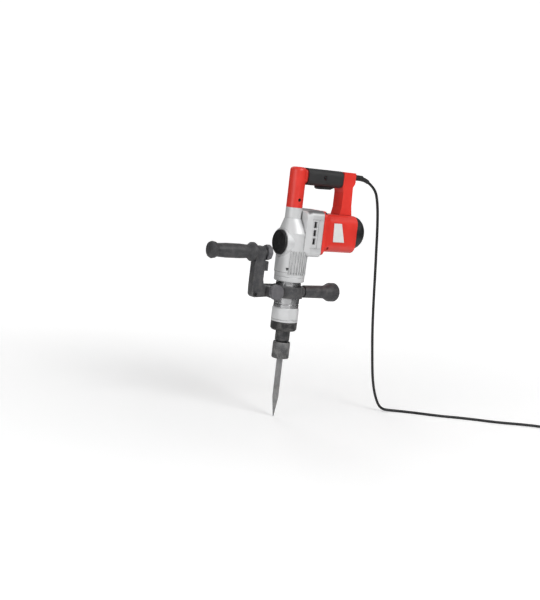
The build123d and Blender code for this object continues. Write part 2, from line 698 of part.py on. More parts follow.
# The put-away length is wound flat, three turns side by side and two layers deep
turn_radii = [30.3, 37.3, 44.3]
layers = 2
lead = 28
end_point = Vector(*cord_route[-1])
arrival = cord_path % 1
travel = Vector(arrival.X, arrival.Y, 0).normalized()
left = Vector(-travel.Y, travel.X, 0)
coil_start = end_point + travel * lead
coil_centre = coil_start - left * turn_radii[-1]
turns = len(turn_radii) * layers
coil_length = 2 * pi * turn_radii[1] * turns
print("coil centre", round(coil_centre.X, 2), round(coil_centre.Y, 2), "travel", travel,
      "whole lead", round(cord_path.length + 2 * lead + coil_length))

with BuildPart() as cord_coil:
    with BuildSketch(Plane(origin=(coil_centre.X, coil_centre.Y, coil_base))):
        Circle(turn_radii[-1] + floor)
        Circle(turn_radii[0] - floor, mode=Mode.SUBTRACT)
    extrude(amount=layers * cord_diameter)
    bar(floor, tuple(end_point), tuple(coil_start))
    lead_out = coil_start + Vector(0, 0, cord_diameter)
    plug_start = lead_out + travel * lead
    bar(floor, tuple(lead_out), tuple(plug_start))
save(cord_coil, "cord_coil")

tie_angle = 150
with BuildPart() as cord_tie:
    tie_plane = Plane(origin=(coil_centre.X, coil_centre.Y, coil_base + cord_diameter),
                      x_dir=(cos(radians(tie_angle)), sin(radians(tie_angle)), 0),
                      z_dir=(-sin(radians(tie_angle)), cos(radians(tie_angle)), 0))
    with BuildSketch(tie_plane):
        with Locations((turn_radii[1], 0)):
            RectangleRounded(3 * cord_diameter + 2.8, 2 * cord_diameter + 1.8, 2)
            RectangleRounded(3 * cord_diameter + 1.4, 2 * cord_diameter + 0.4, 1.4,
                             mode=Mode.SUBTRACT)
    extrude(amount=4.5, both=True)
save(cord_tie, "cord_tie")

plug_plane = Plane(origin=tuple(plug_start), x_dir=tuple(left), z_dir=tuple(travel))
with BuildPart() as plug:
    with BuildSketch(plug_plane):
        Circle(4.5)
    with BuildSketch(plug_plane.offset(18)):
        RectangleRounded(13, 13, 5)
    loft()
    with BuildSketch(plug_plane.offset(18)):
        RectangleRounded(14, 14, 5)
    with BuildSketch(plug_plane.offset(30)):
        RectangleRounded(34, 18, 6)
    loft()
    with BuildSketch(plug_plane.offset(30)):
        RectangleRounded(36, 20, 6)
    extrude(amount=22)
    for side in (-1, 1):
        with BuildSketch(plug_plane.offset(40)) as sockets:
            with Locations((side * 9.5, 0)):
                Circle(2.4)
        extrude(sockets.sketch, amount=12, mode=Mode.SUBTRACT)
save(plug, "plug")

with BuildPart() as plug_pins:
    with BuildSketch(plug_plane.offset(40)):
        with Locations((-9.5, 0), (9.5, 0)):
            Circle(2.4)
    extrude(amount=31)
save(plug_pins, "plug_pins")
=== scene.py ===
"""Gives a packed demolition hammer its finishes, cast and moulded detail, lead and studio."""

import json
import math

import bmesh
import bpy
from bpy.props import (
    FloatProperty,
    FloatVectorProperty,
    IntProperty,
    PointerProperty,
)
from mathutils import Matrix, Vector


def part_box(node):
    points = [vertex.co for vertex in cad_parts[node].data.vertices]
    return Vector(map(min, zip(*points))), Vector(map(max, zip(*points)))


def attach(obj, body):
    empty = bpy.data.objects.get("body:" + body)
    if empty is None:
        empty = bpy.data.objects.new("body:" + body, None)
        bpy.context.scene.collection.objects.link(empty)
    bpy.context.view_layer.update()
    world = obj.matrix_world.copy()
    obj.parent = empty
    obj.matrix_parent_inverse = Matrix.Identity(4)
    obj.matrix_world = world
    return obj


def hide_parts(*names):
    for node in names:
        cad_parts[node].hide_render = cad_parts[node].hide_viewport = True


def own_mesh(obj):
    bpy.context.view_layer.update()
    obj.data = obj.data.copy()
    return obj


bl_info = {
    "name": "Demolition Hammer Finisher",
    "version": (1, 0, 0),
    "blender": (4, 5, 0),
    "location": "View3D > Sidebar > Hammer",
    "description": "Finishes, fine detail, lead and studio for a corded demolition hammer",
    "category": "Object",
}

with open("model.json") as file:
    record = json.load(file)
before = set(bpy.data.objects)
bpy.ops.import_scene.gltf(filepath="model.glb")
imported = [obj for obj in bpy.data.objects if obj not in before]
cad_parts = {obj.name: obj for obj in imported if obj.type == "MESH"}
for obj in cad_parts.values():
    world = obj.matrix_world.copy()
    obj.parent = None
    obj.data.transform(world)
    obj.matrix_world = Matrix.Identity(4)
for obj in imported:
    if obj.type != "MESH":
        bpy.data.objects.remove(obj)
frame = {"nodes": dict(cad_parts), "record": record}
NODES = frame["nodes"]
RECORD = frame["record"]
SLOT_OF = {part["node"]: part["material_slot"] for part in RECORD["subparts"]}
RECORD_COLOUR = {m["slot"]: m["base_color"] for m in RECORD["materials"]}

# The lead's route from the mouth of its strain relief to its coil, in metres.
LEAD_ROUTE = [
    (0.208, 0.0, 0.6005), (0.2335, 0.0, 0.5875), (0.2475, 0.0, 0.552), (0.2565, 0.0, 0.497),
    (0.2625, 0.0, 0.437), (0.2690, 0.0, 0.372), (0.2755, 0.0, 0.300), (0.284, 0.0, 0.222),
    (0.2955, 0.0, 0.148), (0.307, 0.0, 0.084), (0.320, -0.004, 0.038), (0.338, -0.010, 0.0055),
    (0.370, -0.022, 0.0035), (0.412, -0.046, 0.0035), (0.470, -0.092, 0.0035),
    (0.541, -0.131, 0.0035), (0.606, -0.182, 0.0035), (0.680, -0.222, 0.0045),
]
LEAD_DIAMETER = 0.007

# The coil: the level heading of the lead into and out of it, and its two layers of three laps.
COIL_HEADING = Vector((0.767077, -0.641555, 0.0))
COIL_CENTRE = Vector((0.72806, -0.31995, 0.0))
COIL_RADII = (0.0443, 0.0373, 0.0303)
COIL_LEVELS = (0.0045, 0.0115)
COIL_STEPS = 16
COIL_SHIFT = 0.4
COIL_CLIMB = 0.8
COIL_TAIL = (0.014, 0.028)

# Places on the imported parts, in metres.
RIB_FOOT, RIB_LENGTH, RIB_RADIUS = 0.362, 0.056, 0.0392
CLAMP_KNOB_AXIS = Vector((-0.055, 0.0, 0.318))
SIDE_GRIP_AXIS = Vector((0.0, 0.0, 0.317))
STRAIN_RELIEF_FOOT = Vector((0.150, 0.0, 0.609))
BARREL_SEAM_HEIGHT = 0.3655
ARROW_HEIGHT = 0.3745
CASE_FACE = 0.0450


# ---- Settings -------------------------------------------------------------------------


def colour_setting(name, description, default):
    """A colour that the sidebar shows."""
    return FloatVectorProperty(
        name=name, description=description, subtype="COLOR", size=3, min=0, max=1, default=default
    )


class HammerFinishes(bpy.types.PropertyGroup):
    """Colours of the finishes that show most, and of the painted shade on the gear case's top."""

    red: colour_setting("Shell red", "Moulded motor and handle shells", (0.80, 0.035, 0.022))
    silver: colour_setting("Casting silver", "Lacquer on the gear case", (0.74, 0.745, 0.75))
    # Painted shade: the dark grey laid on the gear case's upper face.
    case_top_shade: colour_setting("Painted top shade", "Painted shade on the gear case's upper face", (0.20, 0.20, 0.205))
    grip: colour_setting("Grip grey", "Side grips and D-handle sleeve", (0.040, 0.040, 0.043))
    knob: colour_setting("Knob grey", "Clamp knob", (0.115, 0.112, 0.122))
    arm: colour_setting("Arm grey", "Cast crank arm and clamp", (0.062, 0.062, 0.066))
    steel: colour_setting("Chisel steel", "Forged chisel", (0.30, 0.30, 0.303))
    dust: colour_setting("Stone dust", "Dust that settles on the nose", (0.47, 0.455, 0.43))


class HammerSizes(bpy.types.PropertyGroup):
    """Counts and sizes of the fine detail."""

    barrel_ribs: IntProperty(
        name="Barrel ribs", description="Cooling ribs on each side", default=8, min=1, max=20
    )
    rib_width: FloatProperty(
        name="Rib width", description="Across one cooling rib", default=0.0026, unit="LENGTH"
    )
    knob_ridges: IntProperty(
        name="Knob ridges", description="Ridges round the clamp knob", default=26, min=3, max=60
    )
    flange_ridges: IntProperty(
        name="Flange ridges", description="Ridges round a grip's end", default=26, min=3, max=60
    )
    relief_rings: IntProperty(
        name="Relief rings", description="Rings on the strain relief", default=9, min=2, max=30
    )


class HammerStudio(bpy.types.PropertyGroup):
    """Where the camera stands and how the studio is lit."""

    azimuth: FloatProperty(
        name="Azimuth", description="Camera heading round the barrel",
        default=math.radians(-34), unit="ROTATION",
    )
    elevation: FloatProperty(
        name="Elevation", description="Camera height as an angle",
        default=math.radians(8), unit="ROTATION",
    )
    roll: FloatProperty(
        name="Roll", description="Lean of the barrel in the frame",
        default=math.radians(6.5), unit="ROTATION",
    )
    distance: FloatProperty(
        name="Distance", description="Camera to the aim point", default=2.5, unit="LENGTH"
    )
    aim_across: FloatProperty(
        name="Aim across", description="Aim point beside the barrel", default=-0.0403,
        unit="LENGTH",
    )
    aim_up: FloatProperty(
        name="Aim up", description="Aim point above the floor", default=0.2873, unit="LENGTH"
    )
    lens: FloatProperty(
        name="Lens", description="Focal length in millimetres", default=60, min=10, max=300
    )
    key: FloatProperty(name="Key", description="Key light in watts", default=30, min=0)
    fill: FloatProperty(name="Fill", description="Fill light in watts", default=14, min=0)


# ---- Shader groups --------------------------------------------------------------------


def feed(tree, socket, value):
    """Link a socket's value, or set a plain one."""
    if isinstance(value, bpy.types.NodeSocket):
        tree.links.new(value, socket)
    else:
        socket.default_value = value


def put(tree, kind, inputs=None, **settings):
    """Add a node; an input given a socket is linked and any other is set."""
    node = tree.nodes.new(kind)
    for key, value in settings.items():
        setattr(node, key, value)
    for key, value in (inputs or {}).items():
        feed(tree, node.inputs[key], value)
    return node


def maths(tree, operation, first, second=0.0, third=0.0, clamp=False):
    """One maths step, giving its output socket."""
    return put(tree, "ShaderNodeMath", {0: first, 1: second, 2: third}, operation=operation,
               use_clamp=clamp).outputs[0]


def blend_colour(tree, share, first, second):
    """Mix two colours by a mask, giving the colour socket."""
    node = put(tree, "ShaderNodeMix", {"Factor": share}, data_type="RGBA")
    # The node's sockets repeat for each data type; these are its colour ones.
    for index, value in ((6, first), (7, second)):
        plain = not isinstance(value, bpy.types.NodeSocket)
        feed(tree, node.inputs[index], (*value[:3], 1) if plain else value)
    return node.outputs[2]


def spread(tree, value, low, high, to_low=0.0, to_high=1.0):
    """Map a range to another, held at its ends."""
    return put(tree, "ShaderNodeMapRange",
               {"Value": value, "From Min": low, "From Max": high, "To Min": to_low,
                "To Max": to_high}, clamp=True).outputs[0]


def new_group(name, inputs, outputs):
    """An empty shader group with its sockets and its ends."""
    tree = bpy.data.node_groups.new(name, "ShaderNodeTree")
    for label, kind, value in inputs:
        socket = tree.interface.new_socket(label, in_out="INPUT", socket_type=kind)
        if value is not None:
            socket.default_value = value
    for label, kind in outputs:
        tree.interface.new_socket(label, in_out="OUTPUT", socket_type=kind)
    return tree, tree.nodes.new("NodeGroupInput").outputs, tree.nodes.new("NodeGroupOutput").inputs


FLOAT, VECTOR = "NodeSocketFloat", "NodeSocketVector"


def edge_wear_group():
    """Rounded edges, and the rubbed line along them."""
    tree, given, made = new_group(
        "Edge wear",
        [("Vector", VECTOR, None), ("Radius", FLOAT, 0.001), ("Break-up", FLOAT, 120.0)],
        [("Mask", FLOAT), ("Normal", VECTOR)],
    )
    rounded = put(tree, "ShaderNodeBevel", {"Radius": given["Radius"]}, samples=4)
    surface = put(tree, "ShaderNodeNewGeometry")
    dot = put(tree, "ShaderNodeVectorMath", {0: rounded.outputs[0], 1: surface.outputs["Normal"]},
              operation="DOT_PRODUCT").outputs["Value"]
    turned = spread(tree, maths(tree, "SUBTRACT", 1.0, dot), 0.015, 0.12)
    scuffs = put(tree, "ShaderNodeTexNoise",
                 {"Vector": given["Vector"], "Scale": given["Break-up"], "Detail": 4.0}).outputs[0]
    tree.links.new(maths(tree, "MULTIPLY", turned, spread(tree, scuffs, 0.42, 0.62)), made["Mask"])
    tree.links.new(rounded.outputs[0], made["Normal"])
    return tree


def grain_group():
    """Fine moulded or cast grain over a slow drift."""
    tree, given, made = new_group(
        "Fine grain",
        [("Vector", VECTOR, None), ("Scale", FLOAT, 900.0), ("Drift scale", FLOAT, 18.0)],
        [("Height", FLOAT), ("Drift", FLOAT), ("Speckle", FLOAT)],
    )
    fine = put(tree, "ShaderNodeTexNoise",
               {"Vector": given["Vector"], "Scale": given["Scale"], "Detail": 3.0,
                "Roughness": 0.6}).outputs[0]
    pits = put(tree, "ShaderNodeTexVoronoi",
               {"Vector": given["Vector"], "Scale": given["Scale"]}).outputs["Distance"]
    drift = put(tree, "ShaderNodeTexNoise",
                {"Vector": given["Vector"], "Scale": given["Drift scale"], "Detail": 5.0,
                 "Roughness": 0.55}).outputs[0]
    tree.links.new(maths(tree, "ADD", fine, maths(tree, "MULTIPLY", pits, 0.5)), made["Height"])
    tree.links.new(spread(tree, drift, 0.3, 0.7), made["Drift"])
    tree.links.new(spread(tree, fine, 0.52, 0.7), made["Speckle"])
    return tree


def dust_group():
    """Stone dust: thick near the floor, and on faces that look up."""
    tree, given, made = new_group(
        "Stone dust",
        [("Vector", VECTOR, None), ("Reach", FLOAT, 0.3), ("Amount", FLOAT, 0.5)],
        [("Mask", FLOAT)],
    )
    height = put(tree, "ShaderNodeSeparateXYZ", {0: given["Vector"]}).outputs[2]
    low = spread(tree, maths(tree, "DIVIDE", height, given["Reach"]), 0.0, 1.0, 1.0, 0.0)
    up = put(tree, "ShaderNodeSeparateXYZ",
             {0: put(tree, "ShaderNodeNewGeometry").outputs["Normal"]}).outputs[2]
    shelf = spread(tree, up, 0.1, 0.9, 0.7, 1.0)
    cloud = put(tree, "ShaderNodeTexNoise",
                {"Vector": given["Vector"], "Scale": 70.0, "Detail": 8.0,
                 "Roughness": 0.7}).outputs[0]
    patch = spread(tree, cloud, 0.44, 0.62)
    mask = maths(tree, "MULTIPLY", maths(tree, "MULTIPLY", low, shelf), patch)
    tree.links.new(maths(tree, "MULTIPLY", mask, given["Amount"], clamp=True), made["Mask"])
    return tree


def draw_lines_group():
    """Lines that grinding or drawing leaves along one direction."""
    tree, given, made = new_group(
        "Drawn lines",
        [("Vector", VECTOR, None), ("Stretch", VECTOR, (900.0, 900.0, 20.0))],
        [("Height", FLOAT)],
    )
    scaled = put(tree, "ShaderNodeVectorMath", {0: given["Vector"], 1: given["Stretch"]},
                 operation="MULTIPLY").outputs[0]
    lines = put(tree, "ShaderNodeTexNoise", {"Vector": scaled, "Scale": 1.0, "Detail": 4.0,
                                             "Roughness": 0.65}).outputs[0]
    tree.links.new(lines, made["Height"])
    return tree


def crevice_shade_group():
    """Painted shade where surfaces meet or a line is cut: ambient occlusion darkens the colour
    there, broken up by noise.
    """
    tree, given, made = new_group(
        "Crevice grime",
        [("Vector", VECTOR, None), ("Reach", FLOAT, 0.004), ("Amount", FLOAT, 0.6)],
        [("Mask", FLOAT)],
    )
    shut = put(tree, "ShaderNodeAmbientOcclusion", {"Distance": given["Reach"]}, samples=5,
               only_local=False).outputs["AO"]
    shade_breakup = put(tree, "ShaderNodeTexNoise",
                {"Vector": given["Vector"], "Scale": 90.0, "Detail": 5.0}).outputs[0]
    deep = maths(tree, "POWER", maths(tree, "SUBTRACT", 1.0, shut), 1.2)
    patch = maths(tree, "MULTIPLY", deep, spread(tree, shade_breakup, 0.3, 0.6, 0.6, 1.5))
    tree.links.new(maths(tree, "MULTIPLY", patch, given["Amount"], clamp=True), made["Mask"])
    return tree


GROUPS = {}


def group(tree, name, **inputs):
    """Place one of the shared groups, with this material's own values."""
    node = put(tree, "ShaderNodeGroup", node_tree=GROUPS[name])
    for key, value in inputs.items():
        feed(tree, node.inputs[key], value)
    return node.outputs


# ---- Finishes -------------------------------------------------------------------------


def shaded(colour, share):
    """The same colour, darker or lighter."""
    return tuple(min(1.0, channel * share) for channel in colour)


class Finish:
    """What sets one finish apart; the material is made from these numbers."""

    # grime sets painted shade in crevices; raw_top paints shade on the gear case's upper face.
    def __init__(self, colour, rough, metal=0.0, grain=900.0, bump=0.00003, edge=0.0008,
                 wear=0.3, worn=None, drift=0.12, coat=0.0, coat_rough=0.1, lines=None,
                 dust=0.0, reach=0.3, raw_top=False, grime=0.0, speckle=0.0):
        self.colour, self.rough, self.metal = colour, rough, metal
        self.grain, self.bump, self.edge = grain, bump, edge
        self.wear, self.worn, self.drift = wear, worn or shaded(colour, 1.6), drift
        self.coat, self.coat_rough, self.lines = coat, coat_rough, lines
        self.dust, self.reach = dust, reach
        self.raw_top, self.grime, self.speckle = raw_top, grime, speckle


def finish_table(colours):
    """Every finish of the hammer, by its slot in the record."""
    red, silver = tuple(colours.red), tuple(colours.silver)
    along_z, along_x = (900.0, 900.0, 14.0), (14.0, 900.0, 900.0)
    known = RECORD_COLOUR
    # Each grime sets how much painted shade darkens a finish's crevices.
    return {
        "red_plastic": Finish(red, 0.36, grain=1500, bump=0.000012, edge=0.0016, wear=0.35,
                              worn=(0.95, 0.16, 0.10), drift=0.10, coat=0.25, coat_rough=0.25,
                              grime=0.9),
        "silver_casting": Finish(silver, 0.48, metal=0.35, grain=1100, bump=0.00003,
                                 edge=0.0022, wear=0.6, worn=(0.86, 0.86, 0.86), drift=0.08,
                                 raw_top=True, grime=1.0),
        "polished_steel": Finish((0.60, 0.60, 0.61), 0.20, metal=1.0, bump=0.000006,
                                 lines=(300.0, 300.0, 900.0), wear=0.2, drift=0.05,
                                 grime=0.8),
        "dark_steel": Finish((0.060, 0.060, 0.063), 0.46, metal=0.75, grain=500, bump=0.00010,
                             edge=0.0012, wear=1.0, worn=(0.32, 0.32, 0.32), drift=0.4,
                             dust=0.75, reach=0.34, grime=0.8),
        "sleeve_steel": Finish((0.13, 0.13, 0.134), 0.5, metal=0.6, grain=500, bump=0.00012,
                               edge=0.001, wear=1.0, worn=(0.36, 0.36, 0.36), drift=0.5,
                               dust=0.85, reach=0.36, grime=0.8, speckle=0.35),
        "chisel_steel": Finish(tuple(colours.steel), 0.42, metal=0.8, lines=along_z,
                               bump=0.00005, edge=0.0012, wear=0.8, worn=(0.5, 0.5, 0.5),
                               drift=0.3, dust=0.8, reach=0.13),
        "bright_steel": Finish(known["bright_steel"], 0.28, metal=1.0, lines=along_z,
                               bump=0.00001),
        "screw_steel": Finish((0.05, 0.05, 0.052), 0.38, metal=0.9, bump=0.00001, wear=0.9,
                              worn=(0.4, 0.4, 0.4)),
        "laminations": Finish(known["laminations"], 0.45, metal=1.0,
                              lines=(1800.0, 30.0, 30.0), bump=0.00005),
        "rod_alloy": Finish(known["rod_alloy"], 0.4, metal=1.0, bump=0.00003),
        "copper_wire": Finish(known["copper_wire"], 0.3, metal=1.0, lines=along_x,
                              bump=0.0001, coat=0.5),
        "brass_fittings": Finish(known["brass_fittings"], 0.3, metal=1.0, bump=0.00001),
        "carbon": Finish(known["carbon"], 0.6, bump=0.00003),
        "black_plastic": Finish((0.016, 0.016, 0.017), 0.42, grain=1400, bump=0.00003,
                                edge=0.0008, wear=0.35, worn=(0.12, 0.12, 0.125)),
        "knob_plastic": Finish(tuple(colours.knob), 0.5, grain=1000, bump=0.00006,
                               edge=0.0012, wear=0.5, worn=(0.25, 0.25, 0.26), dust=0.25,
                               reach=0.7),
        "grip_plastic": Finish(tuple(colours.grip), 0.5, grain=800, bump=0.00008,
                               edge=0.0016, wear=0.8, worn=(0.15, 0.15, 0.155), drift=0.35,
                               dust=0.25, reach=0.6, grime=0.9, speckle=0.3),
        "handle_casting": Finish(tuple(colours.arm), 0.44, metal=0.2, grain=600, bump=0.00012,
                                 edge=0.0018, wear=1.0, worn=(0.22, 0.22, 0.225), drift=0.35,
                                 dust=0.35, reach=0.6, grime=0.9, speckle=0.35),
        "black_rubber": Finish((0.022, 0.022, 0.023), 0.62, grain=700, bump=0.00007,
                               edge=0.001, wear=0.5, worn=(0.10, 0.10, 0.10), dust=0.7,
                               reach=0.36),
        "cord_rubber": Finish((0.012, 0.012, 0.013), 0.38, grain=900, bump=0.00002,
                              wear=0.0, drift=0.1),
        "label_film": Finish((0.80, 0.80, 0.79), 0.3, grain=500, bump=0.000006, edge=0.0004,
                             wear=0.1, worn=(0.6, 0.6, 0.6), drift=0.03, coat=0.4),
    }


def make_finish(name, data):
    """Build one procedural material from its numbers."""
    material = bpy.data.materials.new(name)
    material.use_nodes = True
    tree = material.node_tree
    shader = tree.nodes["Principled BSDF"]
    place = put(tree, "ShaderNodeTexCoord").outputs["Object"]
    grain = group(tree, "Fine grain", Vector=place, Scale=data.grain)
    wear = group(tree, "Edge wear", Vector=place, Radius=data.edge)
    colour = blend_colour(tree, grain["Drift"], shaded(data.colour, 1 - data.drift),
                          shaded(data.colour, 1 + data.drift))
    if data.speckle:
        flecks = maths(tree, "MULTIPLY", grain["Speckle"], data.speckle, clamp=True)
        colour = blend_colour(tree, flecks, colour, data.worn)
    # Painted shade: darker grey on the gear case's upper face.
    if data.raw_top:
        colour = shaded_case_top(tree, place, colour)
    # Painted shade: crevices darkened towards a near-black copy of the finish's own colour.
    if data.grime:
        crevice_shading = group(tree, "Crevice grime", Vector=place, Amount=data.grime)
        colour = blend_colour(tree, crevice_shading["Mask"], colour, shaded(data.colour, 0.12))
    rubbed = maths(tree, "MULTIPLY", wear["Mask"], data.wear, clamp=True)
    colour = blend_colour(tree, rubbed, colour, data.worn)
    rough = spread(tree, grain["Drift"], 0, 1, data.rough - 0.05, data.rough + 0.07)
    if data.dust:
        settled = group(tree, "Stone dust", Vector=place, Reach=data.reach, Amount=data.dust)
        colour = blend_colour(tree, settled["Mask"], colour,
                              tuple(bpy.context.scene.hammer_finishes.dust))
        rough = spread(tree, settled["Mask"], 0, 1, data.rough, 0.9)
        if data.metal:
            bare = maths(tree, "MULTIPLY_ADD", settled["Mask"], -data.metal, data.metal)
            tree.links.new(bare, shader.inputs["Metallic"])
    height = grain["Height"]
    if data.lines:
        height = group(tree, "Drawn lines", Vector=place, Stretch=data.lines)["Height"]
    bump = put(tree, "ShaderNodeBump",
               {"Height": height, "Normal": wear["Normal"], "Strength": 1.0,
                "Distance": data.bump})
    tree.links.new(colour, shader.inputs["Base Color"])
    tree.links.new(rough, shader.inputs["Roughness"])
    tree.links.new(bump.outputs[0], shader.inputs["Normal"])
    if not shader.inputs["Metallic"].is_linked:
        shader.inputs["Metallic"].default_value = data.metal
    shader.inputs["Coat Weight"].default_value = data.coat
    shader.inputs["Coat Roughness"].default_value = data.coat_rough
    material.diffuse_color = (*data.colour[:3], 1)
    return material


def shaded_case_top(tree, place, colour):
    """Painted shade: the gear case's up-facing upper face darkened towards a dark grey."""
    up = put(tree, "ShaderNodeSeparateXYZ",
             {0: put(tree, "ShaderNodeNewGeometry").outputs["Normal"]}).outputs[2]
    high = put(tree, "ShaderNodeSeparateXYZ", {0: place}).outputs
    top = spread(tree, up, 0.35, 0.6)
    level = spread(tree, high[2], 0.475, 0.485)
    beside = spread(tree, high[0], 0.008, 0.012)
    mask = maths(tree, "MULTIPLY", maths(tree, "MULTIPLY", top, level), beside)
    return blend_colour(tree, mask, colour,
                        tuple(bpy.context.scene.hammer_finishes.case_top_shade))


MATERIALS = {}


# ---- Mesh helpers ---------------------------------------------------------------------


def link_object(name, data):
    """Put a new object in the scene."""
    piece = bpy.data.objects.new(name, data)
    bpy.context.scene.collection.objects.link(piece)
    return piece


def dress(piece, slot, body="hammer_body"):
    """Give a piece the finish of its slot, and its body."""
    if not piece.data.materials:
        piece.data.materials.append(MATERIALS[slot])
    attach(piece, body)


def smooth(piece, angle=35):
    """Smooth shading that keeps sharp edges."""
    for face in piece.data.polygons:
        face.use_smooth = True
    piece.data.set_sharp_from_angle(angle=math.radians(angle))


def clean_mesh(piece):
    """Merge doubles and turn every face outwards."""
    shape = bmesh.new()
    shape.from_mesh(piece.data)
    bmesh.ops.remove_doubles(shape, verts=shape.verts, dist=1e-6)
    bmesh.ops.recalc_face_normals(shape, faces=shape.faces)
    shape.to_mesh(piece.data)
    shape.free()


def grow(name, tree, values, material, place=None):
    """Run a node tree once and keep its result as a plain mesh."""
    piece = link_object(name, bpy.data.meshes.new(name))
    maker = piece.modifiers.new("Make", "NODES")
    maker.node_group = tree
    for item in tree.interface.items_tree:
        if item.item_type == "SOCKET" and item.in_out == "INPUT":
            if item.name in values:
                maker[item.identifier] = values[item.name]
            elif item.name == "Finish":
                maker[item.identifier] = material
    depsgraph = bpy.context.evaluated_depsgraph_get()
    mesh = bpy.data.meshes.new_from_object(piece.evaluated_get(depsgraph), depsgraph=depsgraph)
    piece.modifiers.clear()
    piece.data = mesh
    mesh.name = name
    if place:
        mesh.transform(place)
    if not mesh.polygons:
        raise RuntimeError(f"{name} came out empty")
    clean_mesh(piece)
    smooth(piece)
    return piece


def new_geometry_tree(name, inputs):
    """An empty geometry tree that takes sizes and a finish."""
    tree = bpy.data.node_groups.new(name, "GeometryNodeTree")
    for label, kind, value in inputs:
        socket = tree.interface.new_socket(label, in_out="INPUT", socket_type=kind)
        socket.default_value = value
    tree.interface.new_socket("Finish", in_out="INPUT", socket_type="NodeSocketMaterial")
    tree.interface.new_socket("Geometry", in_out="OUTPUT", socket_type="NodeSocketGeometry")
    return tree, tree.nodes.new("NodeGroupInput").outputs


def close_geometry_tree(tree, given, geometry):
    """Realize, set the finish and give out."""
    real = put(tree, "GeometryNodeRealizeInstances", {"Geometry": geometry}).outputs[0]
    done = put(tree, "GeometryNodeSetMaterial",
               {"Geometry": real, "Material": given["Finish"]}).outputs[0]
    tree.links.new(done, tree.nodes.new("NodeGroupOutput").inputs[0])
    return tree


def circle(tree, sides, radius):
    """A circle about Z, giving its curve socket."""
    return put(tree, "GeometryNodeCurvePrimitiveCircle",
               {"Resolution": sides, "Radius": radius}).outputs[0]


def rib_tree():
    """Round-ended ribs, each along Z, set on an arc about Z."""
    tree, given = new_geometry_tree("Ribs on an arc", [
        ("Count", "NodeSocketInt", 8), ("Radius", FLOAT, 0.04), ("First angle", FLOAT, 0.0),
        ("Step angle", FLOAT, 0.1), ("Foot", FLOAT, 0.0), ("Length", FLOAT, 0.05),
        ("Width", FLOAT, 0.002), ("Depth", FLOAT, 0.003),
    ])
    index = put(tree, "GeometryNodeInputIndex").outputs[0]
    angle = maths(tree, "MULTIPLY_ADD", index, given["Step angle"], given["First angle"])
    across = maths(tree, "MULTIPLY", maths(tree, "COSINE", angle), given["Radius"])
    along = maths(tree, "MULTIPLY", maths(tree, "SINE", angle), given["Radius"])
    spot = put(tree, "ShaderNodeCombineXYZ", {0: across, 1: along, 2: given["Foot"]}).outputs[0]
    points = put(tree, "GeometryNodePoints", {"Count": given["Count"], "Position": spot}).outputs[0]
    top = put(tree, "ShaderNodeCombineXYZ", {2: given["Length"]}).outputs[0]
    line = put(tree, "GeometryNodeCurvePrimitiveLine", {"End": top}).outputs[0]
    line = put(tree, "GeometryNodeResampleCurve", {"Curve": line, "Count": 13}).outputs[0]
    factor = put(tree, "GeometryNodeSplineParameter").outputs["Factor"]
    # A radius that stays full along the rib and rounds off at both ends
    off = maths(tree, "ABSOLUTE", maths(tree, "MULTIPLY_ADD", factor, 2.0, -1.0))
    full = maths(tree, "SUBTRACT", 1.0, maths(tree, "POWER", off, 10.0))
    girth = maths(tree, "MAXIMUM", maths(tree, "POWER", full, 0.5), 0.05)
    line = put(tree, "GeometryNodeSetCurveRadius", {"Curve": line, "Radius": girth}).outputs[0]
    ring = circle(tree, 10, 0.5)
    swept = put(tree, "GeometryNodeCurveToMesh",
                {"Curve": line, "Profile Curve": ring, "Fill Caps": True}).outputs[0]
    size = put(tree, "ShaderNodeCombineXYZ",
               {0: given["Depth"], 1: given["Width"], 2: 1.0}).outputs[0]
    swept = put(tree, "GeometryNodeTransform", {"Geometry": swept, "Scale": size}).outputs[0]
    turned = put(tree, "ShaderNodeCombineXYZ", {2: angle}).outputs[0]
    placed = put(tree, "GeometryNodeInstanceOnPoints",
                 {"Points": points, "Instance": swept, "Rotation": turned}).outputs[0]
    return close_geometry_tree(tree, given, placed)


def ring_tree():
    """Rings of half-round section in a row up Z, tapering from foot to head."""
    tree, given = new_geometry_tree("Rings in a row", [
        ("Count", "NodeSocketInt", 6), ("Pitch", FLOAT, 0.004), ("Foot", FLOAT, 0.0),
        ("Radius", FLOAT, 0.006), ("Taper", FLOAT, 0.0), ("Thickness", FLOAT, 0.0012),
    ])
    index = put(tree, "GeometryNodeInputIndex").outputs[0]
    level = maths(tree, "MULTIPLY_ADD", index, given["Pitch"], given["Foot"])
    spot = put(tree, "ShaderNodeCombineXYZ", {2: level}).outputs[0]
    points = put(tree, "GeometryNodePoints", {"Count": given["Count"], "Position": spot}).outputs[0]
    girth = maths(tree, "MULTIPLY_ADD", index, given["Taper"], given["Radius"])
    size = put(tree, "ShaderNodeCombineXYZ", {0: girth, 1: girth, 2: 1.0}).outputs[0]
    rings = put(tree, "GeometryNodeInstanceOnPoints",
                {"Points": points, "Instance": circle(tree, 36, 1.0), "Scale": size}).outputs[0]
    paths = put(tree, "GeometryNodeRealizeInstances", {"Geometry": rings}).outputs[0]
    swept = put(tree, "GeometryNodeCurveToMesh",
                {"Curve": paths, "Profile Curve": circle(tree, 8, given["Thickness"])}).outputs[0]
    return close_geometry_tree(tree, given, swept)


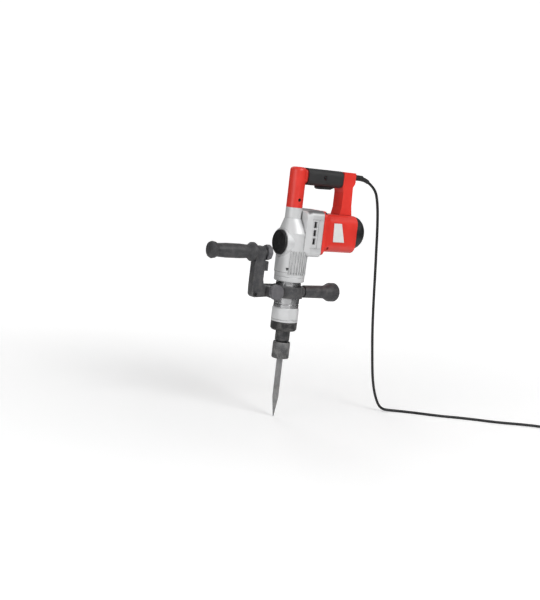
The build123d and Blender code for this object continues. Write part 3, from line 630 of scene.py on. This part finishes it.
def spring_tree():
    """A round wire wound up Z."""
    tree, given = new_geometry_tree("Wound spring", [
        ("Turns", FLOAT, 4.0), ("Radius", FLOAT, 0.016), ("Foot", FLOAT, 0.0),
        ("Height", FLOAT, 0.02), ("Wire", FLOAT, 0.0009),
    ])
    line = put(tree, "GeometryNodeCurveSpiral", {
        "Resolution": 40, "Rotations": given["Turns"], "Start Radius": given["Radius"],
        "End Radius": given["Radius"], "Height": given["Height"]}).outputs[0]
    wire = put(tree, "GeometryNodeCurveToMesh",
               {"Curve": line, "Profile Curve": circle(tree, 10, given["Wire"]),
                "Fill Caps": True}).outputs[0]
    foot = put(tree, "ShaderNodeCombineXYZ", {2: given["Foot"]}).outputs[0]
    placed = put(tree, "GeometryNodeTransform", {"Geometry": wire, "Translation": foot}).outputs[0]
    return close_geometry_tree(tree, given, placed)


TREES = {}
TURN_Z_TO_X = Matrix.Rotation(math.radians(90), 4, "Y")
TURN_Z_TO_MINUS_Y = Matrix.Rotation(math.radians(90), 4, "X")


# ---- Operators ------------------------------------------------------------------------


class HAMMER_OT_camera(bpy.types.Operator):
    """Stand the camera in front of the side handle, rolled so that the barrel leans"""

    bl_idname = "hammer.camera"
    bl_label = "Camera"

    def execute(self, context):
        studio = context.scene.hammer_studio
        az, el, roll = studio.azimuth, studio.elevation, studio.roll
        across = Vector((math.cos(az), math.sin(az), 0))
        back = Vector((math.sin(az) * math.cos(el), -math.cos(az) * math.cos(el), math.sin(el)))
        up = back.cross(across)
        right = across * math.cos(roll) + up * math.sin(roll)
        over = up * math.cos(roll) - across * math.sin(roll)
        aim = across * studio.aim_across + up * studio.aim_up
        data = bpy.data.cameras.new("hammer_camera")
        data.lens = studio.lens
        data.sensor_width = 36
        data.clip_end = 100
        camera = link_object("hammer_camera", data)
        turn = Matrix((right, over, back)).transposed().to_4x4()
        camera.matrix_world = Matrix.Translation(aim + back * studio.distance) @ turn
        context.scene.camera = camera
        return {"FINISHED"}


class HAMMER_OT_finishes(bpy.types.Operator):
    """Build every finish and put it on the parts that come with the frame"""

    bl_idname = "hammer.finishes"
    bl_label = "Finishes"

    def execute(self, context):
        GROUPS["Edge wear"] = edge_wear_group()
        GROUPS["Fine grain"] = grain_group()
        GROUPS["Stone dust"] = dust_group()
        GROUPS["Drawn lines"] = draw_lines_group()
        GROUPS["Crevice grime"] = crevice_shade_group()
        TREES["ribs"] = rib_tree()
        TREES["rings"] = ring_tree()
        TREES["spring"] = spring_tree()
        for slot, data in finish_table(context.scene.hammer_finishes).items():
            MATERIALS[slot] = make_finish(slot, data)
        for name, node in NODES.items():
            node.data.materials.clear()
            node.data.materials.append(MATERIALS[SLOT_OF[name]])
        return {"FINISHED"}


class HAMMER_OT_lead(bpy.types.Operator):
    """Lay the mains lead from its strain relief to its tied coil and plug"""

    bl_idname = "hammer.lead"
    bl_label = "Lead"

    def execute(self, context):
        points = [Vector(p) for p in LEAD_ROUTE]
        points += self.coil_points()
        curve = bpy.data.curves.new("mains_lead", "CURVE")
        curve.dimensions = "3D"
        curve.bevel_depth = LEAD_DIAMETER / 2
        curve.bevel_resolution = 5
        curve.resolution_u = 8
        curve.use_fill_caps = True
        spline = curve.splines.new("NURBS")
        spline.points.add(len(points) - 1)
        for control, point in zip(spline.points, points):
            control.co = (*point, 1)
        spline.order_u = 3
        spline.use_endpoint_u = True
        lead = link_object("mains_lead", curve)
        dress(lead, "cord_rubber")
        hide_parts("cord", "cord_coil")
        return {"FINISHED"}

    def coil_points(self):
        """Six turns in two layers, then straight out to the plug."""
        left = Vector((-COIL_HEADING.y, COIL_HEADING.x, 0))
        start = math.atan2(left.y, left.x)
        turns = len(COIL_RADII)
        radii = list(COIL_RADII) + list(reversed(COIL_RADII))
        steps = len(radii) * COIL_STEPS
        points = []
        for step in range(steps + 1):
            passed = step / COIL_STEPS
            lap = min(int(passed), len(radii) - 1)
            part = passed - lap
            here = radii[lap]
            after = radii[min(lap + 1, len(radii) - 1)]
            shift = max(0.0, (part - 1 + COIL_SHIFT) / COIL_SHIFT)
            radius = here + (after - here) * shift
            angle = start - passed * 2 * math.pi
            climb = min(1.0, max(0.0, (passed - turns + COIL_CLIMB / 2) / COIL_CLIMB))
            level = COIL_LEVELS[0] + (COIL_LEVELS[1] - COIL_LEVELS[0]) * climb
            points.append(COIL_CENTRE + Vector((math.cos(angle) * radius,
                                                math.sin(angle) * radius, level)))
        for ahead in COIL_TAIL:
            points.append(points[steps] + COIL_HEADING * ahead)
        return points


class HAMMER_OT_barrel_ribs(bpy.types.Operator):
    """Cooling ribs up both sides of the barrel"""

    bl_idname = "hammer.barrel_ribs"
    bl_label = "Barrel ribs"

    def execute(self, context):
        sizes = context.scene.hammer_sizes
        step = math.radians(10)
        for side, heading in (("near", -92), ("far", 92)):
            first = math.radians(heading) - step * (sizes.barrel_ribs - 1) / 2
            ribs = grow(f"barrel_ribs_{side}", TREES["ribs"], {
                "Count": sizes.barrel_ribs, "Radius": RIB_RADIUS, "First angle": first,
                "Step angle": step, "Foot": RIB_FOOT, "Length": RIB_LENGTH,
                "Width": sizes.rib_width, "Depth": 0.0042,
            }, MATERIALS["silver_casting"])
            dress(ribs, "silver_casting")
        return {"FINISHED"}


class HAMMER_OT_ridges(bpy.types.Operator):
    """Grip ridges round the clamp knob and the end of the right side grip"""

    bl_idname = "hammer.ridges"
    bl_label = "Grip ridges"

    def execute(self, context):
        sizes = context.scene.hammer_sizes
        turn = 2 * math.pi
        knob = grow("clamp_knob_ridges", TREES["ribs"], {
            "Count": sizes.knob_ridges, "Radius": 0.0181, "Step angle": turn / sizes.knob_ridges,
            "Foot": 0.0285, "Length": 0.0095, "Width": 0.0022, "Depth": 0.0014,
        }, MATERIALS["knob_plastic"],
            Matrix.Translation(CLAMP_KNOB_AXIS) @ TURN_Z_TO_MINUS_Y)
        dress(knob, "knob_plastic", "clamp_knob")
        right = grow("right_grip_ridges", TREES["ribs"], {
            "Count": sizes.flange_ridges, "Radius": 0.0228,
            "Step angle": turn / sizes.flange_ridges, "Foot": 0.1235, "Length": 0.018,
            "Width": 0.0026, "Depth": 0.0016,
        }, MATERIALS["grip_plastic"], Matrix.Translation(SIDE_GRIP_AXIS) @ TURN_Z_TO_X)
        dress(right, "grip_plastic", "side_handle")
        return {"FINISHED"}


class HAMMER_OT_case_marks(bpy.types.Operator):
    """The parting line round the barrel's foot, the frame by the vents and an arrow mark"""

    bl_idname = "hammer.case_marks"
    bl_label = "Case marks"

    def execute(self, context):
        seam = grow("barrel_seam", TREES["rings"], {
            "Count": 1, "Foot": BARREL_SEAM_HEIGHT, "Radius": 0.03755, "Thickness": 0.00042,
        }, MATERIALS["black_plastic"])
        dress(seam, "black_plastic")
        for side, sign in (("near", -1), ("far", 1)):
            dress(self.vent_frame(f"vent_frame_{side}", sign), "silver_casting")
        dress(self.arrow(), "black_plastic")
        return {"FINISHED"}

    def vent_frame(self, name, sign):
        """Two raised level lines and an upright beside the vents."""
        # Each bar lies between two corners, given along X and up Z.
        top_bar = (0.019, 0.4985), (0.053, 0.5000)
        foot_bar = (0.019, 0.4290), (0.053, 0.4305)
        upright = (0.0375, 0.4305), (0.0388, 0.4985)
        shape = bmesh.new()
        for low, high in (top_bar, foot_bar, upright):
            made = bmesh.ops.create_cube(shape, size=1)["verts"]
            middle = ((low[0] + high[0]) / 2, sign * CASE_FACE, (low[1] + high[1]) / 2)
            size = (high[0] - low[0], 0.0012, high[1] - low[1])
            bmesh.ops.scale(shape, vec=size, verts=made)
            bmesh.ops.translate(shape, vec=middle, verts=made)
        bmesh.ops.bevel(shape, geom=shape.edges[:], offset=0.0003, segments=2, affect="EDGES")
        mesh = bpy.data.meshes.new(name)
        shape.to_mesh(mesh)
        shape.free()
        return link_object(name, mesh)

    def arrow(self):
        """A small raised arrow that points to the tool end."""
        heading = math.radians(-136)
        outward = Vector((math.cos(heading), math.sin(heading), 0))
        across = Vector((-math.sin(heading), math.cos(heading), 0))
        shape = bmesh.new()
        rings = []
        for radius, share in ((0.0368, 1.0), (0.0386, 1.0), (0.0389, 0.82)):
            middle = outward * radius + Vector((0, 0, ARROW_HEIGHT))
            rings.append([shape.verts.new(middle + across * x * share + Vector((0, 0, z * share)))
                          for x, z in ((-0.0036, 0.0030), (0.0, -0.0044), (0.0036, 0.0030))])
        for low, high in zip(rings, rings[1:]):
            for k, after in ((0, 1), (1, 2), (2, 0)):
                shape.faces.new((low[k], low[after], high[after], high[k]))
        shape.faces.new(rings[-1])
        shape.faces.new(list(reversed(rings[0])))
        bmesh.ops.recalc_face_normals(shape, faces=shape.faces)
        mesh = bpy.data.meshes.new("barrel_arrow")
        shape.to_mesh(mesh)
        shape.free()
        return link_object("barrel_arrow", mesh)


class HAMMER_OT_return_spring(bpy.types.Operator):
    """The coil spring behind the retaining sleeve"""

    bl_idname = "hammer.return_spring"
    bl_label = "Return spring"

    def execute(self, context):
        low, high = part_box("sleeve_spring")
        wire = 0.0009
        spring = grow("return_spring", TREES["spring"], {
            "Turns": 3.6, "Radius": (high.x - low.x) / 2 - wire, "Foot": low.z + wire,
            "Height": high.z - low.z - 2 * wire, "Wire": wire,
        }, MATERIALS["bright_steel"])
        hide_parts("sleeve_spring")
        dress(spring, "bright_steel")
        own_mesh(spring)
        return {"FINISHED"}


class HAMMER_OT_relief(bpy.types.Operator):
    """Rings on the tapered strain relief"""

    bl_idname = "hammer.relief"
    bl_label = "Strain relief rings"

    def execute(self, context):
        sizes = context.scene.hammer_sizes
        place = Matrix.Translation(STRAIN_RELIEF_FOOT) @ TURN_Z_TO_X
        rings = grow("strain_relief_rings", TREES["rings"], {
            "Count": sizes.relief_rings, "Pitch": 0.0042, "Foot": 0.003, "Radius": 0.0067,
            "Taper": -0.00012, "Thickness": 0.0011,
        }, MATERIALS["cord_rubber"], place)
        dress(rings, "cord_rubber")
        return {"FINISHED"}


class HAMMER_OT_stage(bpy.types.Operator):
    """A pale bowl of floor and wall, soft lights and two dark cards for the chrome"""

    bl_idname = "hammer.stage"
    bl_label = "Studio"

    def execute(self, context):
        scene = context.scene
        studio = scene.hammer_studio
        scene.view_settings.view_transform = "Standard"
        scene.world = bpy.data.worlds.new("studio_world")
        scene.world.use_nodes = True
        background = scene.world.node_tree.nodes["Background"]
        background.inputs["Color"].default_value = (1, 1, 1, 1)
        background.inputs["Strength"].default_value = 0.42
        self.bowl()
        middle = Vector((0.0, 0.0, 0.35))
        self.lamp("key", Vector((0.5, -1.9, 1.9)), middle, 1.3, studio.key)
        self.lamp("fill", Vector((-2.3, -0.7, 1.0)), middle, 1.6, studio.fill)
        self.lamp("back", Vector((0.4, 2.4, 1.8)), middle, 1.4, studio.fill)
        self.card("card_left", -168, -44)
        self.card("card_right", 42, 168)
        return {"FINISHED"}

    def bowl(self):
        """Floor that turns up into a wall all round."""
        floor, bend, wall, steps, segments = 3.2, 2.0, 5.0, 12, 96
        outline = [(0.0, 0.0), (floor, 0.0)]
        for step in range(1, steps + 1):
            angle = math.radians(90 * step / steps)
            outline.append((floor + bend * math.sin(angle), bend - bend * math.cos(angle)))
        outline.append((floor + bend, wall))
        shape = bmesh.new()
        rows = []
        headings = [2 * math.pi * k / segments for k in range(segments)]
        for radius, height in outline:
            if radius == 0:
                rows.append([shape.verts.new((0, 0, height))] * segments)
                continue
            rows.append([shape.verts.new((radius * math.cos(heading), radius * math.sin(heading),
                                          height)) for heading in headings])
        for low, high in zip(rows, rows[1:]):
            for k in range(segments):
                after = (k + 1) % segments
                corners = [low[k], high[k], high[after], low[after]]
                shape.faces.new(list(dict.fromkeys(corners)))
        mesh = bpy.data.meshes.new("studio_bowl")
        bmesh.ops.recalc_face_normals(shape, faces=shape.faces)
        shape.to_mesh(mesh)
        shape.free()
        bowl = link_object("studio_bowl", mesh)
        for face in mesh.polygons:
            face.use_smooth = True
        mesh.materials.append(self.bowl_paint())

    def bowl_paint(self):
        """Matt white that glows to the camera, less so round the object's foot."""
        paint = bpy.data.materials.new("studio_white")
        paint.use_nodes = True
        tree = paint.node_tree
        shader = tree.nodes["Principled BSDF"]
        place = put(tree, "ShaderNodeTexCoord").outputs["Object"]
        mottle = put(tree, "ShaderNodeTexNoise", {"Vector": place, "Scale": 3.0}).outputs[0]
        tone = blend_colour(tree, mottle, (0.88, 0.88, 0.88), (0.91, 0.91, 0.91))
        tree.links.new(tone, shader.inputs["Base Color"])
        shader.inputs["Roughness"].default_value = 0.9
        shader.inputs["Specular IOR Level"].default_value = 0.1
        shader.inputs["Emission Strength"].default_value = 1.0
        away = put(tree, "ShaderNodeVectorMath", {0: place}, operation="LENGTH").outputs["Value"]
        glow = blend_colour(tree, spread(tree, away, 0.3, 2.6), (0.20, 0.20, 0.20),
                            (0.62, 0.62, 0.62))
        seen = put(tree, "ShaderNodeLightPath").outputs["Is Camera Ray"]
        glow = blend_colour(tree, seen, (0.0, 0.0, 0.0), glow)
        tree.links.new(glow, shader.inputs["Emission Color"])
        return paint

    def lamp(self, name, place, aim, size, watts):
        """A square soft light."""
        data = bpy.data.lights.new(name, "AREA")
        data.shape = "SQUARE"
        data.size = size
        data.energy = watts
        lamp = link_object(name, data)
        lamp.matrix_world = (Matrix.Translation(place)
                             @ (aim - place).to_track_quat("-Z", "Y").to_matrix().to_4x4())

    def card(self, name, first, last):
        """A curved dark card between two headings from the camera, seen by reflections only."""
        facing = bpy.context.scene.hammer_studio.azimuth - math.pi / 2
        radius, foot, top, columns = 1.5, 0.02, 1.25, 10
        corners, faces = [], []
        for step in range(columns + 1):
            heading = facing + math.radians(first + (last - first) * step / columns)
            for height in (foot, top):
                corners.append((radius * math.cos(heading), radius * math.sin(heading), height))
        for step in range(columns):
            here = 2 * step
            faces.append((here, here + 2, here + 3, here + 1))
        mesh = bpy.data.meshes.new(name)
        mesh.from_pydata(corners, [], faces)
        card = link_object(name, mesh)
        paint = bpy.data.materials.new(name)
        paint.use_nodes = True
        shader = paint.node_tree.nodes["Principled BSDF"]
        shader.inputs["Base Color"].default_value = (0.012, 0.012, 0.012, 1)
        shader.inputs["Roughness"].default_value = 1.0
        mesh.materials.append(paint)
        card.visible_camera = False
        card.visible_diffuse = False
        card.visible_shadow = False


STEPS = (
    HAMMER_OT_camera,
    HAMMER_OT_finishes,
    HAMMER_OT_lead,
    HAMMER_OT_barrel_ribs,
    HAMMER_OT_ridges,
    HAMMER_OT_case_marks,
    HAMMER_OT_return_spring,
    HAMMER_OT_relief,
    HAMMER_OT_stage,
)


class HAMMER_PT_sidebar(bpy.types.Panel):
    """Lists the steps and the settings"""

    bl_idname = "HAMMER_PT_sidebar"
    bl_label = "Demolition Hammer"
    bl_space_type = "VIEW_3D"
    bl_region_type = "UI"
    bl_category = "Hammer"

    def draw(self, context):
        scene = context.scene
        for settings in (scene.hammer_finishes, scene.hammer_sizes, scene.hammer_studio):
            box = self.layout.box()
            for name in settings.__annotations__:
                box.prop(settings, name)
        for step in STEPS:
            self.layout.operator(step.bl_idname)


SETTINGS = {
    "hammer_finishes": HammerFinishes,
    "hammer_sizes": HammerSizes,
    "hammer_studio": HammerStudio,
}


def register():
    """Register every class and hang the settings on the scene."""
    for item in (*SETTINGS.values(), *STEPS, HAMMER_PT_sidebar):
        bpy.utils.register_class(item)
    for name, settings in SETTINGS.items():
        setattr(bpy.types.Scene, name, PointerProperty(type=settings))


def unregister():
    """Take everything away again."""
    for name in SETTINGS:
        delattr(bpy.types.Scene, name)
    for item in reversed((*SETTINGS.values(), *STEPS, HAMMER_PT_sidebar)):
        bpy.utils.unregister_class(item)


def main():
    """Run every step in order."""
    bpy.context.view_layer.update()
    register()
    for step in STEPS:
        group_name, call_name = step.bl_idname.split(".")
        getattr(getattr(bpy.ops, group_name), call_name)()


if __name__ == "__main__":
    main()
